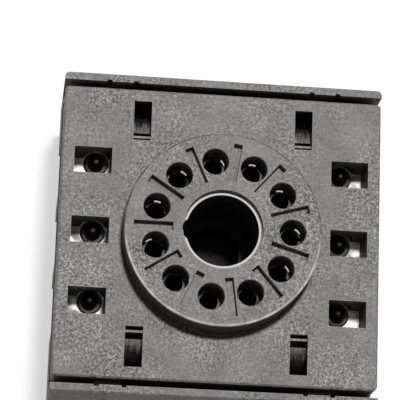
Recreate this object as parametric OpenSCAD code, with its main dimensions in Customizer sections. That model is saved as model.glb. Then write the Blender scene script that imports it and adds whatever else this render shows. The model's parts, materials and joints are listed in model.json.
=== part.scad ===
// Eleven-pin plug-in relay socket with screw terminals on its rear side.
// The plug-in face looks up (+Z) and the socket rests on its rear terminal block.
// The origin is the centre of the rear face. All sizes are in millimetres.

/* [Body] */
// Width of the moulded body, side to side
body_w = 44.6; // [44:0.1:50]
// Length of the moulded body over its two end walls
body_l = 45; // [44:0.1:50]
// Depth from the face to the rear of the inner terminal tier
body_depth = 25.6; // [24:0.1:32]
// Depth from the face to the rear of the outer terminal tiers
outer_tier_depth = 16.3; // [15:0.1:20]
// Width of the inner terminal tier
inner_tier_w = 26; // [25:0.1:27]
// Radius of the upright corners
corner_r = 0.7; // [0.3:0.1:1.2]
// Thickness of the end walls beside the front cover
end_wall_t = 1.1; // [0.8:0.1:1.5]
// Height of the chamfer round the top of the end walls
end_wall_chamfer = 0.2; // [0.1:0.05:0.4]

/* [Front cover] */
// Step between the cover's sides and the body's sides
cover_side_step = 0.1; // [0.1:0.05:0.5]
// Gap between the cover and each end wall
cover_end_gap = 0.95; // [0.8:0.05:1.2]
// Thickness of the front cover
cover_t = 6; // [5.6:0.1:7]
// Height of the chamfer round the face
cover_chamfer = 0.25; // [0.1:0.05:0.5]

/* [Pin disc] */
// Diameter of the raised pin disc
disc_d = 27; // [26:0.1:29]
// Height of the pin disc above the face
disc_h = 4.35; // [3:0.05:6]
// Radius of the disc's rim
disc_edge_r = 0.3; // [0.1:0.05:0.6]
// Number of pins
pin_count = 11; // [11:1:11]
// Diameter of the pin circle
pin_circle_d = 19.05; // [18.8:0.05:19.4]
// Diameter of the pin holes
pin_hole_d = 3.66; // [3:0.02:3.8]
// Depth of the pin holes down to the contacts
pin_hole_depth = 3.6; // [1.5:0.1:5]
// Chamfer at the mouth of each pin hole
pin_hole_chamfer = 0.1; // [0.05:0.05:0.2]
// Diameter of the bore for the guide post
post_bore_d = 10; // [9:0.1:10.4]
// Depth of the bore, from the top of the disc
post_bore_depth = 14.4; // [12:0.1:15]
// Diameter of the relief below the bore
relief_d = 7.6; // [6:0.1:8]
// Depth of the relief, from the top of the disc
relief_depth = 19.8; // [16:0.1:20]
// Diameter of the shallow step round the bore
post_step_d = 11; // [10.6:0.1:12]
// Depth of the shallow step round the bore
post_step_depth = 1; // [0.3:0.1:1.5]
// Width of the keyway, which is round
key_w = 3.2; // [1.5:0.1:4]
// Distance from the bore's axis to the keyway's end
key_reach = 5.58; // [5.4:0.02:5.8]
// Length of the recesses between the pin holes
web_pocket_l = 5.4; // [4:0.1:6]
// Distance from the disc's axis to the inner end of each recess
web_pocket_start = 6.8; // [6.4:0.1:7.4]
// Width of the recesses between the pin holes
web_pocket_w = 1.22; // [0.8:0.02:1.4]
// Depth of the recesses between the pin holes
web_pocket_depth = 1.2; // [0.3:0.05:1.5]

/* [Openings in the face] */
// Width of the openings above the outer terminals
window_w = 5.2; // [4:0.1:6]
// Height of the openings above the outer terminals
window_h = 3.7; // [3:0.1:5]
// Distance from the middle of these openings to the cover's side
window_inset = 4.3; // [4:0.05:4.6]
// Width of the slots for the hold-down clips
slot_w = 2.46; // [2:0.02:3]
// Length of the slots for the hold-down clips
slot_l = 5.64; // [5:0.02:6.5]
// Distance of the slots from the middle, across the face
slot_x = 11.28; // [10.8:0.02:12]
// Distance from the slots' outer ends to the cover's ends
slot_end_margin = 1.66; // [1.3:0.02:2.2]
// Width of the gap at each slot's inner end
slot_gap_w = 0.45; // [0.3:0.05:0.8]
// Thickness of the rib beside that gap
slot_rib_t = 0.3; // [0.2:0.05:0.6]
// Depth of the rib's top below the face
slot_rib_depth = 0.7; // [0.5:0.1:1.5]
// Width of the groove between the rib and the ramp
slot_groove_w = 0.75; // [0.5:0.05:1.2]
// Depth of the gap and the groove below the face
slot_groove_depth = 3; // [2.2:0.1:4]
// Depth of the ramp's upper edge below the face
slot_ramp_depth = 1.8; // [1.2:0.1:2.2]
// Length of the ramp
slot_ramp_l = 3.2; // [2.5:0.1:3.6]

/* [Snap hooks] */
// Width of the four snap hooks
hook_w = 4.2; // [3:0.1:5]
// Distance of the hooks from the middle
hook_x = 14.2; // [12:0.1:16]
// Thickness of each hook's arm
hook_t = 0.65; // [0.5:0.05:0.7]
// How far each hook's barb stands out of its arm
hook_barb = 0.45; // [0.3:0.05:0.5]
// Height of the barb's flat
hook_barb_h = 0.54; // [0.3:0.02:1]
// Play between each barb and its catch
hook_play = 0.1; // [0.05:0.05:0.2]
// Depth of the hooks' tops below the face
hook_depth = 2.8; // [2:0.1:2.9]
// Depth of the recess in the end wall that each barb snaps into
catch_recess = 0.4; // [0.35:0.05:0.6]
// Depth of the catch's lower edge below the face
catch_depth = 2.9; // [2.8:0.1:3.6]
// Height of the catch
catch_h = 1; // [0.6:0.1:1.5]
// Width of the notches in the end wall at both sides of each hook
catch_notch_w = 0.7; // [0.5:0.05:1]
// Depth of those notches
catch_notch_depth = 0.25; // [0.15:0.05:0.5]

/* [Terminals] */
// Distance between neighbouring terminals
row_pitch = 9.92; // [9.8:0.02:10.4]
// Offset of the terminal rows from the rows of openings
row_offset = 1; // [0:0.05:1.4]
// Distance from the outer terminal screws to the body's sides
outer_inset = 5; // [4.9:0.05:5.1]
// Distance from the inner terminal screws to the sides of their tier
inner_inset = 6.5; // [6.4:0.05:6.6]
// Thickness of the terminal strips
strip_t = 1.2; // [1:0.1:1.4]
// Width of each terminal plate
plate_w = 8.7; // [8.4:0.1:8.8]
// Width of the arm between a terminal plate and its pin contact
arm_w = 2.2; // [1.6:0.1:2.4]
// Diameter of the eye round each pin contact
eye_d = 4.6; // [4.2:0.1:4.8]
// Thickness of the legs of the inner terminals
leg_t = 0.8; // [0.6:0.05:0.9]
// Width of the legs of the inner terminals
leg_w = 2.4; // [1.6:0.1:2.6]
// Distance from a pin to the leg of its terminal
leg_reach = 2.75; // [2.5:0.05:3]
// Distance from a pin to its leg for the two legs beyond the pin circle
far_leg_reach = 3.18; // [3:0.02:3.4]
// Depth of the inner terminal plates below the rear of the outer tiers
inner_plate_drop = 0.3; // [0.2:0.1:1]
// Distance from the inner terminal plates to the sides of their tier
inner_plate_inset = 0.4; // [0.3:0.05:0.8]
// Width of the seat behind each outer terminal plate
plate_seat_in = 0.4; // [0.3:0.05:0.6]
// Width of the seat in front of each outer terminal plate
plate_seat_out = 0.3; // [0.2:0.05:0.4]
// Thickness of the outer side walls of the compartments
side_wall_t = 1; // [0.9:0.05:1.2]
// Height of the wall left above the wire entry of each compartment
wire_sill = 1.4; // [1:0.1:2]

/* [Coring] */
// Thickness of the ribs between the coring pockets
core_rib_t = 1.2; // [0.9:0.1:1.6]
// Thickness of the walls round the coring pockets
core_wall_t = 1.4; // [1.2:0.1:2]
// Thickness of the web over the coring pockets
core_web_t = 2; // [1.6:0.1:3]
// Number of coring pockets across each end of the inner tier
core_inner_count = 6; // [5:1:6]
// Number of coring pockets across each end of an outer tier
core_outer_count = 2; // [2:1:3]
// Number of coring pockets in the inner tier's free place
core_free_count = 3; // [3:1:4]

/* [Pin contacts] */
// Outer diameter of the contact tubes
tube_d = 3.2; // [3:0.05:3.3]
// Inner diameter of the contact tubes
tube_bore_d = 2.5; // [2.4:0.05:2.6]
// Depth that a pin reaches below the top of the disc
pin_reach = 12.3; // [11:0.1:12.6]
// Thickness of each tube's closed end
tube_end_t = 0.4; // [0.3:0.1:0.6]
// Diameter of the collar that rests on the terminal strip
collar_d = 4.2; // [4:0.1:4.5]
// Thickness of the collar
collar_t = 0.5; // [0.4:0.1:0.8]
// Width of the slots that let the tube spring
tube_slot_w = 0.5; // [0.3:0.05:0.7]
// Height of the slotted part of the tube
tube_slot_h = 5.6; // [4:0.1:5.8]

/* [Screws and clamps] */
// Diameter of the screw thread
screw_d = 3.4; // [3:0.1:3.5]
// Thread pitch
screw_pitch = 0.6; // [0.5:0.1:0.7]
// Diameter of the screw head
head_d = 5.8; // [5.4:0.1:5.8]
// Height of the screw head
head_h = 2.3; // [2:0.1:2.4]
// Height of the dome of the screw head
head_dome = 0.4; // [0.2:0.1:0.6]
// Width of the driver slots
driver_w = 0.9; // [0.7:0.1:1.2]
// Depth of the driver slots
driver_depth = 1.1; // [0.8:0.1:1.4]
// Length of the cross slot in the head
cross_l = 3.6; // [2.8:0.1:4]
// Diameter of the screw's pilot point
pilot_d = 2.2; // [1.8:0.1:2.4]
// Length of the pilot point
pilot_l = 1.7; // [1:0.1:2]
// Length of the pilot point's straight part
pilot_straight_l = 0.68; // [0.4:0.02:1]
// Length of the chamfer at the end of the thread
thread_chamfer = 0.4; // [0.2:0.05:0.6]
// Diameter of the flat at the tip
pilot_tip_d = 0.8; // [0.4:0.1:1.4]
// Length of thread that passes through the strip
thread_overrun = 0.3; // [0.2:0.1:0.5]
// Side of the square clamp plates
clamp_w = 7.4; // [7:0.05:7.4]
// Thickness of the clamp plates
clamp_t = 1; // [0.8:0.1:1.2]
// Height of the clamp plates' turned-up edges
clamp_lip_h = 1; // [0.6:0.1:1.4]
// Thickness of the clamp plates' turned-up edges
clamp_lip_t = 0.5; // [0.4:0.05:0.5]
// Gap between an open clamp and its terminal plate
clamp_gap = 2.2; // [1.6:0.1:2.4]
// Gap between a closed clamp and its terminal plate
clamp_closed_gap = 0.1; // [0.05:0.05:0.3]

/* [Fits] */
// Clearance round the strips in their recesses
strip_fit = 0.1; // [0.05:0.01:0.15]
// Clearance between the contact tubes and the holes round them
tube_fit = 0.08; // [0.05:0.01:0.1]
// Radial clearance of the screw in its threaded hole
thread_fit = 0.05; // [0.03:0.01:0.08]
// Radial clearance of the screw in its clamp plate
clamp_fit = 0.1; // [0.06:0.01:0.1]
// Clearance between the clamp plates and the ribs beside them
bay_side_clearance = 0.25; // [0.2:0.05:0.3]
// Clearance between the clamp plates and the walls behind them
bay_back_clearance = 0.2; // [0.15:0.05:0.3]
// Clearance between the inner clamp plates and the walls in front of them
bay_front_clearance = 0.3; // [0.2:0.05:0.4]
// Clearance beside the snap hooks in the end walls
hook_clearance = 0.1; // [0.05:0.05:0.2]
// Clearance round the screws' points in the housing
point_clearance = 0.3; // [0.2:0.05:0.4]
// Free length left beyond a point when its screw is tight
point_end_clearance = 0.5; // [0.3:0.1:1]
// Extra radius of the housing's well below the guide bore
well_clearance = 0.2; // [0.1:0.05:0.3]

/* [Hidden] */
$fn = 64;
eps = 0.05;
over = 1;
COLUMN = 0;
ROW = 1;
TIER = 2;
LEG_ANGLE = 3;
LEG_REACH = 4;
OUTER = 0;
INNER = 1;
// One entry per pin, clockwise from the keyway: side of the socket, row, tier and,
// for the inner tier, the direction and distance from the pin to the terminal's leg.
TERMINALS = [
    [-1, 0, INNER, 170, leg_reach],
    [-1, 1, OUTER],
    [-1, 1, INNER, 147, leg_reach],
    [1, 1, INNER, 103, far_leg_reach],
    [1, 1, OUTER],
    [1, 0, OUTER],
    [1, -1, OUTER],
    [1, -1, INNER, -103, far_leg_reach],
    [-1, -1, INNER, -147, leg_reach],
    [-1, -1, OUTER],
    [-1, 0, OUTER]
];
NUMBERS = [for (n = [1 : pin_count]) n];

// Levels above the rear face
face_z = body_depth;
disc_z = face_z + disc_h;
deck_z = face_z - cover_t;
strip_z = deck_z - strip_t;
outer_tier_z = body_depth - outer_tier_depth;
inner_plate_z = outer_tier_z - inner_plate_drop - strip_t;
post_floor_z = disc_z - post_bore_depth;
relief_z = disc_z - relief_depth;
tube_top_z = disc_z - pin_hole_depth;
tube_bottom_z = disc_z - pin_reach - tube_end_t;

// Places along and across the socket
end_wall_y = body_l / 2 - end_wall_t;
cover_w = body_w - 2 * cover_side_step;
cover_l = 2 * (end_wall_y - cover_end_gap);
window_x = cover_w / 2 - window_inset;
slot_start = cover_l / 2 - slot_end_margin - slot_l;
pin_r = pin_circle_d / 2;
bay_w = clamp_w + 2 * bay_side_clearance;
outer_x = body_w / 2 - outer_inset;
outer_bay_x = outer_x - clamp_w / 2 - bay_back_clearance;
outer_bay_end = body_w / 2 - side_wall_t;
outer_plate_x = outer_bay_x - plate_seat_in;
outer_plate_end = outer_bay_end + plate_seat_out;
inner_x = inner_tier_w / 2 - inner_inset;
inner_bay_x = inner_x - clamp_w / 2 - bay_back_clearance;
inner_bay_end = inner_x + clamp_w / 2 + bay_front_clearance;
inner_plate_x = inner_bay_x + strip_fit;
inner_plate_end = inner_tier_w / 2 - inner_plate_inset;

// Screws and the room for their points
screw_l = clamp_t + clamp_gap + strip_t + thread_overrun + pilot_l;
travel = clamp_gap - clamp_closed_gap;
point_r = screw_d / 2 + point_clearance;
thread_room = strip_t + thread_overrun + travel + point_end_clearance;

function seat(n) = TERMINALS[n - 1];
function pin_angle(n) = 180 - (n - 0.5) * 360 / pin_count;
function on_circle(r, a) = [r * cos(a), r * sin(a)];
function pin_at(n) = on_circle(pin_r, pin_angle(n));
function is_inner(n) = seat(n)[TIER] == INNER;
function column_x(n) = seat(n)[COLUMN] * (is_inner(n) ? inner_x : outer_x);
function screw_at(n) = [column_x(n), row_y(seat(n)[ROW])];
function row_y(row) = row * row_pitch + row_offset;
function plate_z(n) = is_inner(n) ? inner_plate_z : strip_z;
function leg_at(n) = pin_at(n) + on_circle(seat(n)[LEG_REACH], seat(n)[LEG_ANGLE]);
function plate_edge(n) = [seat(n)[COLUMN] * (outer_plate_x + over), screw_at(n)[1]];
function arm_end(n) = is_inner(n) ? leg_at(n) : plate_edge(n);
// Points of a rectangle with rounded corners, counter-clockwise
function rounded(w, l, r, steps = 5) = [
    for (c = [[1, 1, 0], [-1, 1, 90], [-1, -1, 180], [1, -1, 270]])
        for (i = [0 : steps])
            [c[0] * (w / 2 - r), c[1] * (l / 2 - r)] + on_circle(r, c[2] + 90 * i / steps)
];

module upright_block(w, l, z0, z1) {
    translate([0, 0, z0]) linear_extrude(z1 - z0) polygon(rounded(w, l, corner_r));
}

// Box between two levels, given by its plan corners
module box(x0, x1, y0, y1, z0, z1) {
    translate([min(x0, x1), min(y0, y1), z0]) cube([abs(x1 - x0), abs(y1 - y0), z1 - z0]);
}

// Flat bar from p to q
module bar(p, q, w) {
    reach = q - p;
    translate(p) rotate(atan2(reach[1], reach[0])) translate([0, -w / 2]) square([norm(reach), w]);
}

module mirrored_corners() {
    for (sx = [0, 1], sy = [0, 1]) mirror([sx, 0, 0]) mirror([0, sy, 0]) children();
}

// Room for the point of a screw, from a level up, with a tapered end for its pilot
module point_well(n, z0) {
    pilot_z = plate_z(n) + thread_room;
    room = 2 * point_clearance;
    translate(screw_at(n)) {
        translate([0, 0, z0]) cylinder(r = point_r, h = pilot_z - z0);
        translate([0, 0, pilot_z - eps]) cylinder(d1 = pilot_d + room, d2 = pilot_tip_d + room, h = pilot_l);
    }
}

// ---- front cover ----

module disc_profile() {
    r = disc_d / 2;
    steps = 4;
    corner = [r - disc_edge_r, disc_z - disc_edge_r];
    rim = [for (i = [0 : steps]) corner + on_circle(disc_edge_r, 90 * i / steps)];
    root_z = (deck_z + face_z) / 2;
    polygon(concat([[0, root_z], [r, root_z]], rim, [[0, disc_z]]));
}

module web_pocket() {
    box(web_pocket_start, web_pocket_start + web_pocket_l, -web_pocket_w / 2, web_pocket_w / 2,
        disc_z - web_pocket_depth, disc_z + eps);
}

// The guide bore with its keyway and the shallow step round its mouth
module guide_bore() {
    bottom = deck_z - eps;
    translate([0, 0, bottom]) cylinder(d = post_bore_d, h = disc_z - bottom + eps);
    translate([0, 0, disc_z - post_step_depth]) cylinder(d = post_step_d, h = post_step_depth + eps);
    keyway(0, bottom);
}

// Round keyway at the side of the bore, widened all round by g
module keyway(g, z0) {
    translate([key_w / 2 - key_reach, 0, z0]) cylinder(d = key_w + 2 * g, h = disc_z - z0 + eps);
}

// Hole for one pin, with the wider seat of its contact below
module pin_well() {
    seat_z = tube_top_z + tube_fit;
    translate([0, 0, deck_z - eps]) cylinder(d = tube_d + 2 * tube_fit, h = seat_z - deck_z + 2 * eps);
    translate([0, 0, seat_z]) cylinder(d = pin_hole_d, h = disc_z);
    translate([0, 0, disc_z - pin_hole_chamfer])
        cylinder(d1 = pin_hole_d, d2 = pin_hole_d + 4 * pin_hole_chamfer, h = 2 * pin_hole_chamfer);
    translate([0, 0, deck_z - eps]) cylinder(d = collar_d + 2 * tube_fit, h = collar_t + tube_fit + eps);
}

// Stepped slot that takes one hook of a hold-down clip
module clip_slot() {
    rib_y = slot_start + slot_gap_w;
    groove_y = rib_y + slot_rib_t;
    ramp_y = groove_y + slot_groove_w;
    slot_end = slot_start + slot_l;
    steps = 6;
    ramp_h = cover_t - slot_ramp_depth;
    ramp = [
        for (i = [0 : steps])
            [ramp_y + slot_ramp_l * sin(90 * i / steps), ramp_h * cos(90 * i / steps) - cover_t]
    ];
    translate([slot_x - slot_w / 2, 0, face_z]) rotate([90, 0, 90]) linear_extrude(slot_w) polygon(concat([
        [slot_start, eps],
        [slot_start, -slot_groove_depth],
        [rib_y, -slot_groove_depth],
        [rib_y, -slot_rib_depth],
        [groove_y, -slot_rib_depth],
        [groove_y, -slot_groove_depth],
        [ramp_y, -slot_groove_depth]
    ], ramp, [
        [ramp_y + slot_ramp_l, -cover_t - eps],
        [slot_end, -cover_t - eps],
        [slot_end, eps]
    ]));
}

// Hook on the end of the cover, with a barb that points to the end wall
module snap_hook() {
    arm_y = cover_l / 2;
    tip_y = arm_y + hook_t;
    top_z = face_z - hook_depth;
    barb_z = face_z - catch_depth - hook_play;
    translate([hook_x - hook_w / 2, 0, 0]) rotate([90, 0, 90]) linear_extrude(hook_w) polygon([
        [arm_y - eps, deck_z],
        [tip_y, deck_z],
        [tip_y + hook_barb, barb_z - hook_barb_h],
        [tip_y + hook_barb, barb_z],
        [tip_y, barb_z],
        [tip_y, top_z],
        [arm_y - eps, top_z]
    ]);
}

// Long wedge that takes the edge off a block; the edge runs along X at [y, z]
module edge_cut(len, y, z, c) {
    translate([-len / 2, y, z]) rotate([90, 0, 90]) linear_extrude(len)
        polygon([[-c - over, over], [over, -c - over], [over, over]]);
}

module face_chamfers() {
    for (a = [0, 180]) {
        rotate(a) edge_cut(cover_w + 2 * over, cover_l / 2, face_z, cover_chamfer);
        rotate(a + 90) edge_cut(cover_l + 2 * over, cover_w / 2, face_z, cover_chamfer);
    }
}

module front_cover() {
    color("dimgray") difference() {
        union() {
            difference() {
                upright_block(cover_w, cover_l, deck_z, face_z);
                face_chamfers();
            }
            rotate_extrude($fn = 128) disc_profile();
            mirrored_corners() snap_hook();
        }
        guide_bore();
        for (n = NUMBERS) {
            translate(pin_at(n)) pin_well();
            rotate(pin_angle(n) + 180 / pin_count) web_pocket();
            if (!is_inner(n)) point_well(n, deck_z - eps);
        }
        for (side = [-1, 1], row = [-1, 0, 1])
            translate([side * window_x, row * row_pitch])
                box(-window_w / 2, window_w / 2, -window_h / 2, window_h / 2, deck_z - eps, face_z + eps);
        mirrored_corners() clip_slot();
    }
}

// ---- terminals ----

// Plan of the part of a terminal that lies between cover and housing
module strip_plan(n, g) {
    translate(pin_at(n)) circle(d = eye_d + 2 * g);
    bar(pin_at(n), arm_end(n), arm_w + 2 * g);
    if (is_inner(n))
        translate(leg_at(n)) square([leg_t + 2 * g, leg_w + 2 * g], center = true);
    else
        plate_plan(n, g, outer_plate_x, outer_plate_end);
}

module plate_plan(n, g, x0, x1) {
    left = min(seat(n)[COLUMN] * x0, seat(n)[COLUMN] * x1);
    translate([left - g, screw_at(n)[1] - plate_w / 2 - g])
        square([x1 - x0 + 2 * g, plate_w + 2 * g]);
}

module terminal(n) {
    color("gold") difference() {
        union() {
            translate([0, 0, strip_z]) linear_extrude(strip_t) strip_plan(n, 0);
            if (is_inner(n)) {
                translate([0, 0, inner_plate_z]) linear_extrude(strip_t)
                    plate_plan(n, 0, inner_plate_x, inner_plate_end);
                translate([0, 0, inner_plate_z]) linear_extrude(strip_z + strip_t - inner_plate_z)
                    translate(leg_at(n)) square([leg_t, leg_w], center = true);
            }
        }
        translate(pin_at(n)) translate([0, 0, strip_z - eps])
            cylinder(d = tube_d + 2 * tube_fit, h = strip_t + 2 * eps);
        translate(screw_at(n)) translate([0, 0, plate_z(n) - eps])
            cylinder(d = screw_d + 2 * thread_fit, h = strip_t + 2 * eps);
    }
}

// Spring tube that grips one pin, with a collar that rests on the strip
module pin_contact(n) {
    tube_l = tube_top_z - tube_bottom_z;
    translate(pin_at(n)) rotate(pin_angle(n)) color("goldenrod") difference() {
        union() {
            translate([0, 0, tube_bottom_z]) cylinder(d = tube_d, h = tube_l);
            translate([0, 0, deck_z]) cylinder(d = collar_d, h = collar_t);
        }
        translate([0, 0, tube_bottom_z + tube_end_t]) cylinder(d = tube_bore_d, h = tube_l);
        box(-tube_d, tube_d, -tube_slot_w / 2, tube_slot_w / 2, tube_top_z - tube_slot_h, tube_top_z + eps);
    }
}

// ---- base housing ----

module end_walls() {
    for (a = [0, 180]) rotate(a) difference() {
        intersection() {
            upright_block(body_w, body_l, deck_z - over, face_z);
            box(-body_w, body_w, end_wall_y, body_l, deck_z - over, face_z);
        }
        edge_cut(body_w + 2 * over, body_l / 2, face_z, end_wall_chamfer);
        mirror_pair() catch_pocket();
    }
}

module mirror_pair() {
    for (s = [0, 1]) mirror([s, 0, 0]) children();
}

// Recess in the end wall below the catch, and the two notches above it
module catch_pocket() {
    x0 = hook_x - hook_w / 2 - hook_clearance;
    x1 = hook_x + hook_w / 2 + hook_clearance;
    y1 = end_wall_y + catch_recess;
    catch_z = face_z - catch_depth;
    box(x0, x1, end_wall_y - eps, y1, deck_z - eps, catch_z);
    for (x = [x0, x1 - catch_notch_w])
        box(x, x + catch_notch_w, end_wall_y - eps, end_wall_y + catch_notch_depth,
            catch_z + catch_h, face_z + eps);
}

// Compartment of one outer terminal: open to the rear and to the side
module outer_bay(n) {
    y = screw_at(n)[1];
    mirror([seat(n)[COLUMN] < 0 ? 1 : 0, 0]) {
        box(outer_bay_x, outer_bay_end, y - bay_w / 2, y + bay_w / 2, outer_tier_z - eps, strip_z + eps);
        box(outer_bay_x, body_w, y - bay_w / 2, y + bay_w / 2, outer_tier_z - eps, strip_z - wire_sill);
    }
}

// Compartment of one inner terminal, with the grooves that hold its plate
module inner_bay(n) {
    y = screw_at(n)[1];
    groove = plate_w / 2 + strip_fit;
    mirror([seat(n)[COLUMN] < 0 ? 1 : 0, 0]) {
        box(inner_bay_x, inner_bay_end, y - bay_w / 2, y + bay_w / 2, -eps, inner_plate_z + eps);
        box(inner_bay_x, body_w, y - bay_w / 2, y + bay_w / 2, -eps, inner_plate_z - wire_sill);
        box(inner_bay_x, body_w, y - groove, y + groove, inner_plate_z, inner_plate_z + strip_t);
    }
}

// Way for the leg of an inner terminal
module leg_way(n) {
    translate([0, 0, inner_plate_z]) linear_extrude(deck_z - inner_plate_z + eps)
        translate(leg_at(n)) square([leg_t, leg_w] + [2, 2] * strip_fit, center = true);
}

// Row of coring pockets that fills the span from x0 to x1
module core_row(x0, x1, count, y0, y1, z0, z1) {
    w = (x1 - x0 - (count - 1) * core_rib_t) / count;
    for (i = [0 : count - 1]) {
        left = x0 + i * (w + core_rib_t);
        box(left, left + w, y0, y1, z0 - eps, z1);
    }
}

// Coring pockets in the end blocks, past the last row of terminals
module end_cores() {
    outer_end = body_w / 2 - core_wall_t;
    inner_end = inner_tier_w / 2 - core_wall_t;
    top = deck_z - core_web_t;
    for (s = [-1, 1]) {
        y0 = row_y(s) + s * (bay_w / 2 + core_wall_t);
        y1 = s * (body_l / 2 - core_wall_t);
        core_row(-inner_end, inner_end, core_inner_count, y0, y1, 0, top);
        mirror_pair() core_row(inner_tier_w / 2 + core_wall_t, outer_end, core_outer_count,
            y0, y1, outer_tier_z, top);
    }
}

// Coring pockets between the inner compartments and in the place without a terminal
module inner_cores() {
    half = inner_bay_x - core_rib_t;
    for (row = [-1, 0, 1])
        box(-half, half, row_y(row) - bay_w / 2, row_y(row) + bay_w / 2, -eps,
            (row == 0 ? relief_z : post_floor_z) - core_web_t);
    core_row(inner_bay_x, inner_tier_w / 2 - core_wall_t, core_free_count,
        row_y(0) - bay_w / 2, row_y(0) + bay_w / 2, 0, inner_plate_z);
}

module base_housing() {
    well_r = post_bore_d / 2 + well_clearance;
    color("dimgray") difference() {
        union() {
            upright_block(body_w, body_l, outer_tier_z, deck_z);
            upright_block(inner_tier_w, body_l, 0, deck_z);
            end_walls();
        }
        translate([0, 0, post_floor_z]) cylinder(r = well_r, h = face_z);
        translate([0, 0, relief_z]) cylinder(d = relief_d, h = face_z);
        keyway(well_clearance, post_floor_z);
        for (n = NUMBERS) {
            translate([0, 0, strip_z]) linear_extrude(strip_t + eps) strip_plan(n, strip_fit);
            translate(pin_at(n)) translate([0, 0, tube_bottom_z - tube_fit])
                cylinder(d = tube_d + 2 * tube_fit, h = face_z);
            if (is_inner(n)) {
                inner_bay(n);
                point_well(n, inner_plate_z);
                leg_way(n);
            } else {
                outer_bay(n);
            }
        }
        end_cores();
        inner_cores();
    }
}

// ---- clamps and screws ----

module clamp_plate(n) {
    z = plate_z(n) - clamp_gap - clamp_t;
    half = clamp_w / 2;
    translate(screw_at(n)) translate([0, 0, z]) color("silver") difference() {
        union() {
            box(-half, half, -half, half, 0, clamp_t);
            for (s = [-1, 1])
                box(-half, half, s * half, s * (half - clamp_lip_t), -clamp_lip_h, clamp_t);
        }
        translate([0, 0, -eps]) cylinder(r = screw_d / 2 + clamp_fit, h = clamp_t + 2 * eps);
    }
}

module screw_profile() {
    thread_l = screw_l - pilot_l;
    r = head_d / 2;
    steps = 5;
    dome = [
        for (i = [0 : steps])
            [r * sin(90 * i / steps), head_dome * (1 - cos(90 * i / steps)) - head_h]
    ];
    polygon(concat(dome, [
        [r, 0],
        [screw_d / 2, 0],
        [screw_d / 2, thread_l - thread_chamfer],
        [pilot_d / 2, thread_l],
        [pilot_d / 2, thread_l + pilot_straight_l],
        [pilot_tip_d / 2, screw_l],
        [0, screw_l]
    ]));
}

module terminal_screw(n) {
    z = plate_z(n) - clamp_gap - clamp_t;
    translate(screw_at(n)) translate([0, 0, z]) color("silver") difference() {
        rotate_extrude() screw_profile();
        box(-head_d, head_d, -driver_w / 2, driver_w / 2, -head_h - eps, -head_h + driver_depth);
        box(-driver_w / 2, driver_w / 2, -cross_l / 2, cross_l / 2, -head_h - eps, -head_h + driver_depth);
    }
}

front_cover();
base_housing();
for (n = NUMBERS) {
    terminal(n);
    pin_contact(n);
    clamp_plate(n);
    terminal_screw(n);
}
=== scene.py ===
import json
import math

import bmesh
import bpy
from mathutils import Matrix, Vector


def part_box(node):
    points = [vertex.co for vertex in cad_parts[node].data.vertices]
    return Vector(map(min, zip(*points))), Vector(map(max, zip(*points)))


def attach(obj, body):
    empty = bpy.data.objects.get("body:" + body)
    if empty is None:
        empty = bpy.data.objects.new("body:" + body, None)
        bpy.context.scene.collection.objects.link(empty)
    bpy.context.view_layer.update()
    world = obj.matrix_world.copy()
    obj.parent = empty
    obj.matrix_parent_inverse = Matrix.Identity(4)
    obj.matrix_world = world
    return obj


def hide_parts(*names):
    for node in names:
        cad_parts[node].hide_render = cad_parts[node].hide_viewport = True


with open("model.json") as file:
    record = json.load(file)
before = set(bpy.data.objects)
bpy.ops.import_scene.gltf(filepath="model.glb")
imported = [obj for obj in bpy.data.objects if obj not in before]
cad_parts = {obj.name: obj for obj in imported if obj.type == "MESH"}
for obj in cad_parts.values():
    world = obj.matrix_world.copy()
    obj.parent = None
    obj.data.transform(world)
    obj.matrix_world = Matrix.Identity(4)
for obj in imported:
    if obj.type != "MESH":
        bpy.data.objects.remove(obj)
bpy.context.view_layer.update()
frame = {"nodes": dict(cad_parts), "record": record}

MM = 0.001
PINS = 11

# Main sizes of the front moulding, in millimetres from the middle of the socket's rear plane.
FACE_Z = 25.6
DISC_Z = 29.95
DISC_R = 13.5
BORE_R = 5.0
LIP_BAND_Z = (28.86, 29.16)
SHAFT_R = 6.4
SHAFT_FLOOR_Z = 10.15
SLOT_START = 13.15
SLOT_SIDES = (9.8, 12.8)

# Terminal screw, in millimetres from its seat under the head.
HEAD_R, HEAD_H, HEAD_DOME, HEAD_EDGE_R = 2.9, 2.3, 0.4, 0.18
DRIVE_W, DRIVE_DEPTH, CROSS_L, DRIVE_OVER = 0.9, 1.1, 3.6, 1.0
THREAD_PITCH, THREAD_MAJOR, THREAD_MINOR, THREAD_L = 0.6, 1.7, 1.36, 4.7
SCREW_L = 6.4
SCREW_SIDES = 40
RINGS_A_PITCH = 8
SMOOTH_ANGLE = math.radians(35)

# Tongue of a spring tube: radius and height of its section, and the way that each tongue points.
LIP_SECTION = ((1.25, -0.05), (1.27, 0.05), (1.33, 0.15), (1.42, 0.23), (1.54, 0.29), (1.68, 0.325),
               (1.72, 0.3), (1.68, 0.24), (1.56, 0.16), (1.5, 0.08), (1.46, -0.05))
LIP_STEPS, LIP_HALF_TURN = 8, math.radians(18)
LIP_TURNS = (80, 57, 32, 86, 92, 46, 34, -60, -100, -75, 120)

# Start and end of each fine crease in the face.
CREASES = (
    ((-15.2, 8.6), (-12.3, 6.6)),
    ((-15.1, -7.4), (-12.0, -9.2)),
    ((10.6, -6.2), (12.4, -10.3)),
)

# ---- camera, lights, floor ----

VIEW_POINT = Vector((0, 0, FACE_Z * MM))
VIEW_DISTANCE = 0.299
VIEW_TURN = (14.12, -6.257, 1.775)
VIEW_CENTRE = (-0.05, 0.0915)
LENS = 195.7
KEY_TILT = math.radians(13)
KEY_SIDE = math.radians(12)
KEY_DISTANCE = 0.6
KEY_SIZE = 0.07
KEY_LEVEL = 0.96
SKY_LEVEL = 0.05
FLOOR_GLOW = 0.62
FLOOR_HALF = 3.0
FLOOR_Z = -0.02 * MM


def link(name, data):
    made = bpy.data.objects.new(name, data)
    bpy.context.scene.collection.objects.link(made)
    return made


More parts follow.
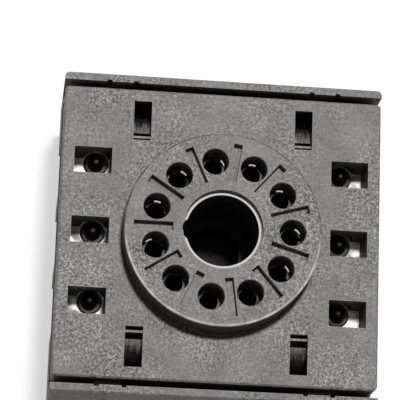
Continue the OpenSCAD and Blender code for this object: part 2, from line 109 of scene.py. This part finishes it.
def add_camera():
    data = bpy.data.cameras.new("camera")
    data.lens = LENS
    data.sensor_width = 36
    data.shift_x, data.shift_y = VIEW_CENTRE
    data.clip_start, data.clip_end = 0.01, 10
    camera = link("camera", data)
    camera.rotation_euler = [math.radians(a) for a in VIEW_TURN]
    back = camera.rotation_euler.to_matrix() @ Vector((0, 0, VIEW_DISTANCE))
    camera.location = VIEW_POINT + back
    bpy.context.scene.camera = camera


def add_key_light():
    data = bpy.data.lights.new("key", "AREA")
    data.shape = "DISK"
    data.size = KEY_SIZE
    data.energy = math.pi**2 * KEY_LEVEL * KEY_DISTANCE**2
    light = link("key", data)
    side = math.sin(KEY_TILT)
    way = Vector((side * math.sin(KEY_SIDE), side * math.cos(KEY_SIDE), math.cos(KEY_TILT)))
    light.location = VIEW_POINT + way * KEY_DISTANCE
    light.rotation_mode = "QUATERNION"
    light.rotation_quaternion = way.to_track_quat("Z", "Y")


# ---- shader helpers ----

# Sockets of the Mix node when it mixes colours.
MIX_SHARE, MIX_A, MIX_B, MIX_COLOUR = 0, 6, 7, 2


class Nodes:
    """A node tree that is built one node at a time, for a material or the world."""

    def __init__(self, owner):
        owner.use_nodes = True
        self.tree = owner.node_tree
        self.tree.nodes.clear()

    def put(self, socket, value):
        if isinstance(value, bpy.types.NodeSocket):
            self.tree.links.new(value, socket)
        elif value is not None:
            socket.default_value = value

    def node(self, kind, values=(), **settings):
        made = self.tree.nodes.new("ShaderNode" + kind)
        for key, value in settings.items():
            setattr(made, key, value)
        for key, value in dict(values).items():
            self.put(made.inputs[key], value)
        return made

    def math(self, operation, a, b=None, clamp=False):
        made = self.node("Math", {0: a}, operation=operation, use_clamp=clamp)
        self.put(made.inputs[1], b)
        return made.outputs[0]

    def span(self, value, low, high, to_low=0.0, to_high=1.0):
        values = {"Value": value, "From Min": low, "From Max": high}
        values.update({"To Min": to_low, "To Max": to_high})
        return self.node("MapRange", values).outputs[0]

    def seen_rays(self):
        """1 for rays from the camera, mirrors and clear things, and 0 for light that falls on the part."""
        path = self.node("LightPath").outputs
        seen = self.math("MAXIMUM", path["Is Camera Ray"], path["Is Glossy Ray"])
        return self.math("MAXIMUM", seen, path["Is Transmission Ray"])


class Paint(Nodes):
    """A material made of nodes."""

    def __init__(self, name):
        self.material = bpy.data.materials.new(name)
        super().__init__(self.material)

    def place(self):
        """Object coordinates in millimetres."""
        coords = self.node("TexCoord").outputs["Object"]
        return self.node("VectorMath", {0: coords, "Scale": 1 / MM}, operation="SCALE").outputs[0]

    def noise(self, place, scale, detail=2.0, rough=0.5, distortion=0.0):
        values = {"Vector": place, "Scale": scale, "Detail": detail, "Roughness": rough}
        values["Distortion"] = distortion
        return self.node("TexNoise", values).outputs["Fac"]

    def cells(self, place, scale):
        return self.node("TexVoronoi", {"Vector": place, "Scale": scale}, feature="F1").outputs["Distance"]

    def fall(self, value, low, high):
        """1 below low and 0 above high."""
        return self.span(value, low, high, 1.0, 0.0)

    def band(self, value, low, high, fade):
        """1 between low and high, fading to 0 over a width inside each of them."""
        return self.product(self.span(value, low, low + fade), self.fall(value, high - fade, high))

    def product(self, *factors):
        result = factors[0]
        for factor in factors[1:]:
            result = self.math("MULTIPLY", result, factor)
        return result

    def mix(self, share, a, b, blend="MIX"):
        values = {MIX_SHARE: share, MIX_A: a, MIX_B: b}
        return self.node("Mix", values, data_type="RGBA", blend_type=blend).outputs[MIX_COLOUR]

    def ramp(self, value, stops):
        made = self.node("ValToRGB", {"Fac": value})
        elements = made.color_ramp.elements
        while len(elements) < len(stops):
            elements.new(0.5)
        for element, (at, colour) in zip(elements, stops):
            element.position = at
            element.color = colour
        return made.outputs["Color"]

    def bump(self, height, depth_mm, strength=1.0, normal=None):
        values = {"Height": height, "Distance": depth_mm * MM, "Strength": strength}
        made = self.node("Bump", values)
        self.put(made.inputs["Normal"], normal)
        return made.outputs["Normal"]

    def edges(self, radius_mm, low, high):
        """1 along sharp outer edges and 0 on flat ground."""
        normal = self.node("Bevel", {"Radius": radius_mm * MM}, samples=6).outputs["Normal"]
        true = self.node("NewGeometry").outputs["Normal"]
        same = self.node("VectorMath", {0: normal, 1: true}, operation="DOT_PRODUCT").outputs["Value"]
        return self.span(same, high, low)

    def open_sky(self, reach_mm):
        """1 on open ground and 0 deep inside holes and grooves."""
        return self.node("AmbientOcclusion", {"Distance": reach_mm * MM}, samples=8).outputs["AO"]

    def times(self, place, factors):
        """Coordinates with each axis multiplied by its own factor."""
        return self.node("VectorMath", {0: place, 1: factors}, operation="MULTIPLY").outputs[0]

    def reach(self, place):
        """Distance from the axis of the guide bore."""
        flat = self.times(place, (1, 1, 0))
        return self.node("VectorMath", {0: flat}, operation="LENGTH").outputs["Value"]

    def axes(self, place):
        outputs = self.node("SeparateXYZ", {0: place}).outputs
        return outputs["X"], outputs["Y"], outputs["Z"]

    def surface(self, shader):
        self.node("OutputMaterial", {"Surface": shader.outputs[0]})
        return self.material

    def finish(self, **values):
        named = {key.replace("_", " "): value for key, value in values.items()}
        return self.surface(self.node("BsdfPrincipled", named))


def srgb(r, g, b):
    return tuple(c / 12.92 if c <= 0.04045 else ((c + 0.055) / 1.055) ** 2.4
                 for c in (r / 255, g / 255, b / 255)) + (1.0,)


# ---- materials ----


def plastic_colour(p, place):
    """Mottled warm grey with pits, and the height that its bump follows."""
    blotch = p.noise(place, 2.3, 2, 0.6, 0.2)
    grain = p.noise(place, 5.5, 2, 0.7)
    cloud = p.noise(place, 0.25, 2)
    mottle = p.math("ADD", p.math("MULTIPLY", blotch, 0.45), p.math("MULTIPLY", grain, 0.55))
    strength = p.span(p.noise(place, 0.09, 2, 0.6), 0.38, 0.62, 1.0, 3.4)
    mottle = p.math("MULTIPLY", p.math("SUBTRACT", mottle, 0.5), strength)
    mottle = p.math("ADD", mottle, p.math("MULTIPLY", p.math("SUBTRACT", cloud, 0.5), 0.34))
    mottle = p.math("ADD", mottle, 0.5, clamp=True)
    greys = [(0.0, srgb(60, 57, 56)), (0.5, srgb(141, 137, 134)), (1.0, srgb(205, 201, 198))]
    colour = p.ramp(mottle, greys)
    hue = p.span(p.noise(place, 0.55, 2), 0.35, 0.65)
    colour = p.mix(0.4, colour, p.mix(hue, srgb(136, 124, 130), srgb(128, 130, 118)), "SOFT_LIGHT")
    pits = p.product(p.fall(p.cells(place, 0.9), 0.06, 0.11), p.span(p.noise(place, 0.4, 1), 0.52, 0.58))
    colour = p.mix(p.math("MULTIPLY", pits, 0.7), colour, srgb(58, 55, 54))
    return colour, p.math("SUBTRACT", mottle, pits)


def disc_painted_light(p, place, colour):
    """Painted shade on the side wall of the pin disc, at its foot and along its upper rim; painted
    highlights along its lower rim and round the lip of the bore.
    """
    reach = p.reach(place)
    _, across, level = p.axes(place)
    broken = p.noise(place, 0.5, 2)

    # Painted shade: the side wall of the pin disc darkened all round.
    side = p.product(p.span(reach, DISC_R - 0.14, DISC_R - 0.06),
                     p.span(level, FACE_Z + 0.02, FACE_Z + 0.2),
                     p.fall(level, DISC_Z - 0.45, DISC_Z - 0.2))
    colour = p.mix(p.product(side, 0.9), colour, srgb(24, 22, 22))

    # Painted highlight: a broken bright line along the lower rim of the disc.
    rim = p.product(p.span(reach, DISC_R - 0.4, DISC_R - 0.15),
                    p.span(level, DISC_Z - 0.35, DISC_Z - 0.23),
                    p.span(across, -4.0, 1.0, 1.0, 0.1), p.span(broken, 0.35, 0.6, 0.45, 1.0))
    colour = p.mix(rim, colour, srgb(226, 223, 220))

    # Painted highlight: a bright ring on the step round the mouth of the bore.
    lip = p.product(p.fall(reach, BORE_R + 0.23, BORE_R + 0.33), p.band(level, *LIP_BAND_Z, 0.08))
    colour = p.mix(p.product(lip, 0.8), colour, srgb(222, 219, 216))

    # Painted shade: a broken dark line at the foot of the disc and along its upper rim.
    foot = p.product(p.fall(reach, DISC_R + 0.08, DISC_R + 0.3), p.fall(level, FACE_Z + 0.06, FACE_Z + 0.2))
    brow = p.product(p.span(reach, DISC_R - 0.26, DISC_R - 0.18),
                     p.span(level, DISC_Z - 0.4, DISC_Z - 0.25), p.span(across, -3.0, 2.0))
    line = p.product(p.math("MAXIMUM", foot, brow), p.span(broken, 0.38, 0.5, 0.25, 1.0))
    return p.mix(p.product(line, 0.8), colour, srgb(48, 45, 45))


def shaft_shade(p, place, colour):
    """Painted shade on the walls down inside the guide bore."""
    _, _, level = p.axes(place)
    shaft = p.product(p.fall(p.reach(place), SHAFT_R, SHAFT_R + 0.2),
                      p.fall(level, DISC_Z - 1.65, DISC_Z - 1.2),
                      p.span(level, SHAFT_FLOOR_Z - 0.55, SHAFT_FLOOR_Z - 0.15))
    tone = p.mix(p.noise(place, 0.6, 2), srgb(12, 9, 11), srgb(24, 20, 22))
    return p.mix(p.product(shaft, 0.96), colour, tone)


def slot_shade(p, place, colour):
    """Painted shade that darkens the ramp of each clip slot towards its deep end, in streaks."""
    across, along, level = p.axes(place)
    across, along = p.math("ABSOLUTE", across), p.math("ABSOLUTE", along)
    near = p.product(p.band(across, *SLOT_SIDES, 0.1), p.fall(level, FACE_Z - 0.7, FACE_Z - 0.5),
                     p.span(along, SLOT_START + 0.9, SLOT_START + 1.3))
    streaks = p.noise(p.times(place, (3, 0.4, 0.4)), 1.2, 2)
    depth = p.span(along, SLOT_START + 1.4, SLOT_START + 3.6, 0.4, 1.0)
    depth = p.math("ADD", depth, p.span(streaks, 0.3, 0.7, -0.25, 0.25))
    return p.mix(p.math("MULTIPLY", near, depth, clamp=True), colour, srgb(24, 21, 22))


def line_mask(p, place, start, end, width):
    """1 along a straight line on the face, from start to end in millimetres."""
    run = Vector(end) - Vector(start)
    way = run.normalized()
    away = p.node("VectorMath", {0: place, 1: (*start, 0)}, operation="SUBTRACT").outputs[0]
    along = p.node("VectorMath", {0: away, 1: (*way, 0)}, operation="DOT_PRODUCT").outputs["Value"]
    side = (-way.y, way.x, 0)
    across = p.node("VectorMath", {0: away, 1: side}, operation="DOT_PRODUCT").outputs["Value"]
    across = p.math("ADD", across, p.span(p.noise(place, 0.8, 1), 0.3, 0.7, -0.06, 0.06))
    near = p.fall(p.math("ABSOLUTE", across), width * 0.4, width)
    return p.product(near, p.band(along, 0.0, run.length, 0.3))


def plastic_material(name, creases=(), disc=False):
    """Matte moulded plastic with a mottled grain, edges lightened as rubbed wear and painted highlight,
    fine dented creases drawn darker, painted shade deep in holes, grooves and the guide bore, and, on the
    front cover, painted light and shade round the pin disc and clip slots.
    """
    p = Paint(name)
    place = p.place()
    colour, height = plastic_colour(p, place)
    # Sharp outer edges lightened: partly rubbed wear, partly painted highlight.
    worn_edge_highlight = p.edges(0.14, 0.82, 0.995)
    worn_edge_highlight = p.math("MULTIPLY", worn_edge_highlight, p.span(p.noise(place, 1.1, 2), 0.3, 0.6, 0.25, 0.9))
    colour = p.mix(worn_edge_highlight, colour, srgb(178, 175, 171))
    if disc:
        colour = slot_shade(p, place, disc_painted_light(p, place, colour))
    colour = shaft_shade(p, place, colour)
    # Painted shade: near-black deep in holes and grooves, where little open sky is seen.
    recess_shade = p.span(p.open_sky(8.0), 0.08, 0.3, 0.94, 0.0)
    colour = p.mix(recess_shade, colour, srgb(26, 23, 24))
    for start, end in creases:
        line = line_mask(p, place, start, end, 0.11)
        colour = p.mix(p.math("MULTIPLY", line, 0.45), colour, srgb(78, 75, 73))
        height = p.math("SUBTRACT", height, p.math("MULTIPLY", line, 0.8))
    rough = p.span(p.noise(place, 2.2, 2), 0.3, 0.7, 0.5, 0.68)
    rounded = p.node("Bevel", {"Radius": 0.07 * MM}, samples=4).outputs["Normal"]
    normal = p.bump(height, 0.05, 0.7, rounded)
    return p.finish(Base_Color=colour, Roughness=rough, Normal=normal, Specular_IOR_Level=0.16)


def metal_material(name, light, dark, rough_low, rough_high, stain, threaded=False):
    """Plated metal: fine scratches, a cloudy plating and duller, darker patches.

    A threaded piece gets painted shade: a dark thread end and a near-black pilot point.
    """
    p = Paint(name)
    place = p.place()
    cloud = p.noise(place, 1.1, 3, 0.6)
    fine = p.noise(place, 9.0, 3, 0.65)
    colour = p.ramp(cloud, [(0.38, dark), (0.6, light)])
    patch = p.span(p.noise(place, 0.45, 4, 0.6, 0.4), 0.5, 0.62)
    colour = p.mix(p.math("MULTIPLY", patch, 0.6), colour, stain)
    rough = p.math("ADD", p.span(cloud, 0.3, 0.7, rough_low, rough_high), p.math("MULTIPLY", patch, 0.12))
    if threaded:
        _, _, level = p.axes(place)
        # Painted shade: the thread end darkened and the pilot point made near-black, down in the window.
        thread_end = p.span(level, THREAD_L - 0.46, THREAD_L - 0.36)
        colour = p.mix(thread_end, colour, (0.07, 0.068, 0.062, 1))
        shaded_point = p.product(p.span(level, THREAD_L + 0.04, THREAD_L + 0.12),
                         p.fall(level, SCREW_L - 0.1, SCREW_L - 0.04))
        colour = p.mix(shaded_point, colour, (0.012, 0.011, 0.011, 1))
        rough = p.math("ADD", rough, p.product(thread_end, 0.2))
    rounded = p.node("Bevel", {"Radius": 0.07 * MM}, samples=4).outputs["Normal"]
    normal = p.bump(fine, 0.01, 0.5, rounded)
    return p.finish(Base_Color=colour, Metallic=1.0, Roughness=rough, Normal=normal)


def floor_material():
    """Pale floor that keeps the shadow and reads as white to the camera."""
    p = Paint("floor")
    place = p.place()
    tone = p.noise(place, 0.02, 2)
    colour = p.ramp(tone, [(0.3, (0.42, 0.42, 0.42, 1)), (0.7, (0.45, 0.45, 0.45, 1))])
    shader = p.node("BsdfPrincipled", {"Base Color": colour, "Roughness": 0.9, "Specular IOR Level": 0.2})
    glow = p.node("Emission", {"Strength": p.math("MULTIPLY", p.seen_rays(), FLOOR_GLOW)})
    return p.surface(p.node("AddShader", {0: shader.outputs[0], 1: glow.outputs[0]}))


def add_world():
    """White where it is seen, and dim as a light."""
    world = bpy.data.worlds.new("world")
    bpy.context.scene.world = world
    sky = Nodes(world)
    level = sky.span(sky.seen_rays(), 0.0, 1.0, SKY_LEVEL, 1.0)
    background = sky.node("Background", {"Strength": level})
    sky.node("OutputWorld", {"Surface": background.outputs[0]})


def add_floor():
    mesh = bpy.data.meshes.new("floor")
    corners = [(x * FLOOR_HALF, y * FLOOR_HALF, FLOOR_Z) for x, y in ((-1, -1), (1, -1), (1, 1), (-1, 1))]
    mesh.from_pydata(corners, [], [(0, 1, 2, 3)])
    mesh.materials.append(floor_material())
    link("floor", mesh)


# ---- pieces ----


def smooth(mesh, angle):
    for polygon in mesh.polygons:
        polygon.use_smooth = True
    mesh.set_sharp_from_angle(angle=angle)


def make_mesh(bm, name, material=None, smooth_angle=None):
    mesh = bpy.data.meshes.new(name)
    bm.to_mesh(mesh)
    bm.free()
    if material:
        mesh.materials.append(material)
    if smooth_angle:
        smooth(mesh, smooth_angle)
    return mesh


def skin(bm, rows):
    """Faces between rows of points that each close on themselves."""
    for a, b in zip(rows, rows[1:]):
        for j in range(len(a)):
            k = (j + 1) % len(a)
            bm.faces.new((a[j], b[j], b[k], a[k]))


def thread_radius(turn, z):
    """Radius of the right-hand thread with flat crests at one point of its wall."""
    phase = (z / THREAD_PITCH - turn) % 1.0
    slope = abs(phase - 0.5) * 2
    return THREAD_MINOR + (THREAD_MAJOR - THREAD_MINOR) * min(1.0, max(0.0, (slope - 0.2) / 0.6))


def screw_rings():
    """Radius and height, in millimetres, of every point from the top of the head to the tip."""
    plain = []
    for i in range(1, 7):
        a = math.radians(15 * i)
        plain.append(((HEAD_R - HEAD_EDGE_R) * math.sin(a), -HEAD_H + HEAD_DOME * (1 - math.cos(a))))
    for i in range(1, 4):
        a = math.radians(30 * i)
        r = HEAD_R - HEAD_EDGE_R + HEAD_EDGE_R * math.sin(a)
        plain.append((r, -HEAD_H + HEAD_DOME + HEAD_EDGE_R * (1 - math.cos(a))))
    plain += [(HEAD_R, -0.1), (HEAD_R - 0.1, 0.0), (THREAD_MAJOR * 1.02, 0.0)]
    thread = []
    steps = int(THREAD_L / THREAD_PITCH * RINGS_A_PITCH)
    for i in range(1, steps + 1):
        z = THREAD_L * i / steps
        end_r = THREAD_MAJOR - max(0.0, 0.15 - (THREAD_L - z))
        thread.append([(min(thread_radius(j / SCREW_SIDES, z), end_r), z) for j in range(SCREW_SIDES)])
    point = [(1.1, 4.71), (1.1, 5.38), (0.75, 5.89), (0.42, 6.26), (0.3, 6.33), (0.15, 6.38)]
    return [[ring] * SCREW_SIDES for ring in plain] + thread + [[ring] * SCREW_SIDES for ring in point]


def screw_mesh(material):
    """Captive terminal screw: domed cheese head, cut thread and pilot point. Its seat is at z 0."""
    bm = bmesh.new()
    rows = []
    for ring in screw_rings():
        turns = [2 * math.pi * j / SCREW_SIDES for j in range(SCREW_SIDES)]
        points = [(r * math.cos(a), r * math.sin(a), z) for a, (r, z) in zip(turns, ring)]
        rows.append([bm.verts.new(Vector(point) * MM) for point in points])
    skin(bm, rows)
    top = bm.verts.new((0, 0, -HEAD_H * MM))
    tip = bm.verts.new((0, 0, SCREW_L * MM))
    for j in range(SCREW_SIDES):
        k = (j + 1) % SCREW_SIDES
        bm.faces.new((top, rows[0][j], rows[0][k]))
        bm.faces.new((tip, rows[-1][k], rows[-1][j]))
    bmesh.ops.recalc_face_normals(bm, faces=bm.faces)
    return make_mesh(bm, "terminal_screw", material, SMOOTH_ANGLE)


def drive_tools():
    """The slot and the cross that are cut into the head."""
    height = DRIVE_DEPTH + DRIVE_OVER
    z = -HEAD_H + (DRIVE_DEPTH - DRIVE_OVER) / 2
    tools = []
    for name, size in (("slot_tool", (7, DRIVE_W, height)), ("cross_tool", (DRIVE_W, CROSS_L, height))):
        bm = bmesh.new()
        bmesh.ops.create_cube(bm, size=1.0)
        bmesh.ops.scale(bm, vec=Vector(size) * MM, verts=bm.verts)
        bmesh.ops.translate(bm, vec=Vector((0, 0, z)) * MM, verts=bm.verts)
        tools.append(link(name, make_mesh(bm, name)))
    return tools


def cut(target, tools):
    """The target's mesh with the tools taken away from it. All these objects are deleted."""
    for tool in tools:
        modifier = target.modifiers.new("cut", "BOOLEAN")
        modifier.object = tool
        modifier.solver = "EXACT"
    bpy.context.view_layer.update()
    solid = target.evaluated_get(bpy.context.evaluated_depsgraph_get())
    mesh = bpy.data.meshes.new_from_object(solid)
    for used in (target, *tools):
        bpy.data.objects.remove(used)
    return mesh


def build_screws(material):
    mesh = cut(link("screw_base", screw_mesh(material)), drive_tools())
    smooth(mesh, SMOOTH_ANGLE)
    for n in range(1, PINS + 1):
        node = f"screw_{n}"
        low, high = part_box(node)
        piece = link(f"threaded_screw_{n}", mesh)
        middle = (low + high) / 2
        seat = Matrix.Translation((middle.x, middle.y, low.z + HEAD_H * MM))
        piece.matrix_world = seat @ Matrix.Rotation(math.radians(37 * n % 180), 4, "Z")
        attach(piece, node)
        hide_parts(node)


def build_contact_lips(material):
    """One flared tongue at the mouth of each spring tube, where the relay's pin runs in."""
    bm = bmesh.new()
    rows = []
    for i in range(LIP_STEPS + 1):
        a = LIP_HALF_TURN * (2 * i / LIP_STEPS - 1)
        section = [(r * math.cos(a), r * math.sin(a), z) for r, z in LIP_SECTION]
        rows.append([bm.verts.new(Vector(point) * MM) for point in section])
    skin(bm, rows)
    bm.faces.new(rows[0])
    bm.faces.new(rows[-1])
    bmesh.ops.recalc_face_normals(bm, faces=bm.faces)
    mesh = make_mesh(bm, "contact_lip", material, math.radians(50))
    for n, turn in enumerate(LIP_TURNS, 1):
        low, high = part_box(f"pin_contact_{n}")
        piece = link(f"contact_lip_{n}", mesh)
        place = Matrix.Translation(((low.x + high.x) / 2, (low.y + high.y) / 2, high.z))
        piece.matrix_world = place @ Matrix.Rotation(math.radians(turn), 4, "Z")
        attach(piece, "socket")


def soften_edges(node, width_mm):
    modifier = node.modifiers.new("rounded edges", "BEVEL")
    modifier.width = width_mm * MM
    modifier.segments = 3
    modifier.limit_method = "ANGLE"
    modifier.angle_limit = math.radians(40)


def dress_nodes(paints):
    """Gives each CAD node its finished material by its own name or the record's slot."""
    for part in frame["record"]["subparts"]:
        node = frame["nodes"].get(part["node"])
        if node is None:
            continue
        paint = paints.get(part["node"], paints[part["material_slot"]])
        node.data.materials.clear()
        node.data.materials.append(paint)
        if part["material_slot"] == "contact_metal":
            soften_edges(node, 0.1)


# ---- the scene ----

add_camera()
add_key_light()
add_world()
add_floor()
paints = {
    "front_cover": plastic_material("cover_plastic", CREASES, disc=True),
    "housing_plastic": plastic_material("housing_plastic"),
    "terminal_metal": metal_material(
        "terminal_metal", (0.62, 0.61, 0.58, 1), (0.26, 0.24, 0.215, 1), 0.5, 0.64, (0.13, 0.11, 0.085, 1)),
    # Nearly black metal: painted shade that keeps the spring tubes dark down in the pin holes.
    "contact_metal": metal_material(
        "contact_metal", (0.03, 0.028, 0.025, 1), (0.014, 0.013, 0.012, 1), 0.34, 0.5,
        (0.014, 0.012, 0.01, 1)),
    "contact_lip": metal_material(
        "contact_lip", (0.74, 0.72, 0.67, 1), (0.46, 0.44, 0.39, 1), 0.14, 0.26, (0.26, 0.23, 0.18, 1)),
    "clamp_metal": metal_material(
        "clamp_metal", (0.56, 0.57, 0.58, 1), (0.47, 0.48, 0.49, 1), 0.4, 0.5, (0.38, 0.36, 0.32, 1)),
    "screw_metal": metal_material(
        "screw_metal", (0.58, 0.59, 0.61, 1), (0.49, 0.5, 0.52, 1), 0.4, 0.5, (0.38, 0.36, 0.32, 1),
        threaded=True),
}
dress_nodes(paints)
build_screws(paints["screw_metal"])
build_contact_lips(paints["contact_lip"])

bpy.context.scene.view_settings.view_transform = "Standard"
